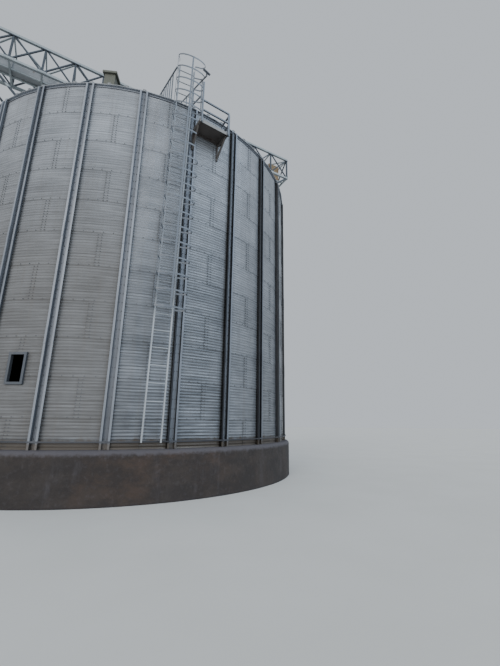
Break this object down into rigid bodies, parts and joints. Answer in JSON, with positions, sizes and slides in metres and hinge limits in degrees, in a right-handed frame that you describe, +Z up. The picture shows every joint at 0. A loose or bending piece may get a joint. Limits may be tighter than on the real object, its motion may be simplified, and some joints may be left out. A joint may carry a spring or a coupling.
{
  "type": "corrugated steel grain silo with conveyor bridge",
  "caption": "Round corrugated steel grain silo on a concrete plinth, with outside stiffeners, cone roof, caged ladder, rest platform and a truss bridge with a conveyor over the peak",
  "frame": {"origin": "centre of the plinth's underside, at ground level on the silo's axis", "axes": "+Z up along the silo's axis; -Y is the front, toward the stiffener right of the small hatch; +X is to the right when facing the front"},
  "size_m": [13.0754, 12.36, 16.38],
  "materials": {
    "concrete": "rough brown-grey cement render with pale run-down streaks",
    "corrugated_steel": "weathered galvanised corrugated sheet, satin",
    "stiffener_steel": "galvanised, satin",
    "roof_steel": "weathered galvanised roof sheet",
    "galvanised_steel": "galvanised, satin",
    "platform_steel": "galvanised, rust-stained below",
    "bridge_steel": "weathered grey paint",
    "casing_steel": "weathered grey sheet",
    "rusty_steel": "faded yellow paint with rust",
    "lamp_housing": "dark painted housing"
  },
  "bodies": {
    "root": {"concrete_plinth": "concrete", "wall_segment_01": "corrugated_steel", "wall_segment_02": "corrugated_steel", "wall_segment_03": "corrugated_steel", "wall_segment_04": "corrugated_steel", "wall_segment_05": "corrugated_steel", "wall_segment_06": "corrugated_steel", "wall_segment_07": "corrugated_steel", "wall_segment_08": "corrugated_steel", "wall_segment_09": "corrugated_steel", "wall_segment_10": "corrugated_steel", "wall_segment_11": "corrugated_steel", "wall_segment_12": "corrugated_steel", "wall_segment_13": "corrugated_steel", "stiffener_frame_01": "stiffener_steel", "stiffener_frame_02": "stiffener_steel", "stiffener_frame_03": "stiffener_steel", "stiffener_frame_04": "stiffener_steel", "stiffener_frame_05": "stiffener_steel", "stiffener_frame_06": "stiffener_steel", "stiffener_frame_07": "stiffener_steel", "stiffener_frame_08": "stiffener_steel", "stiffener_frame_09": "stiffener_steel", "stiffener_frame_10": "stiffener_steel", "stiffener_frame_11": "stiffener_steel", "stiffener_frame_12": "stiffener_steel", "stiffener_frame_13": "stiffener_steel", "roof_shell": "roof_steel", "peak_cap": "galvanised_steel", "fill_spout": "galvanised_steel", "roof_vent": "galvanised_steel", "roof_ladder": "galvanised_steel", "roof_handrail_left": "galvanised_steel", "roof_handrail_right": "galvanised_steel", "floodlight": "lamp_housing", "ladder": "galvanised_steel", "cage_left": "galvanised_steel", "cage_front": "galvanised_steel", "cage_right": "galvanised_steel", "platform_deck": "platform_steel", "platform_bracket_left": "platform_steel", "platform_bracket_right": "platform_steel", "platform_rail_front": "galvanised_steel", "platform_rail_side": "galvanised_steel", "hatch_frame": "galvanised_steel", "bridge_front_side": "bridge_steel", "bridge_back_side": "bridge_steel", "bridge_floor": "bridge_steel", "bridge_top_bracing": "bridge_steel", "bridge_end_brace": "bridge_steel", "conveyor_casing": "casing_steel", "conveyor_tail": "rusty_steel", "trestle_left": "bridge_steel", "trestle_right": "bridge_steel"}
  },
  "joints": []
}
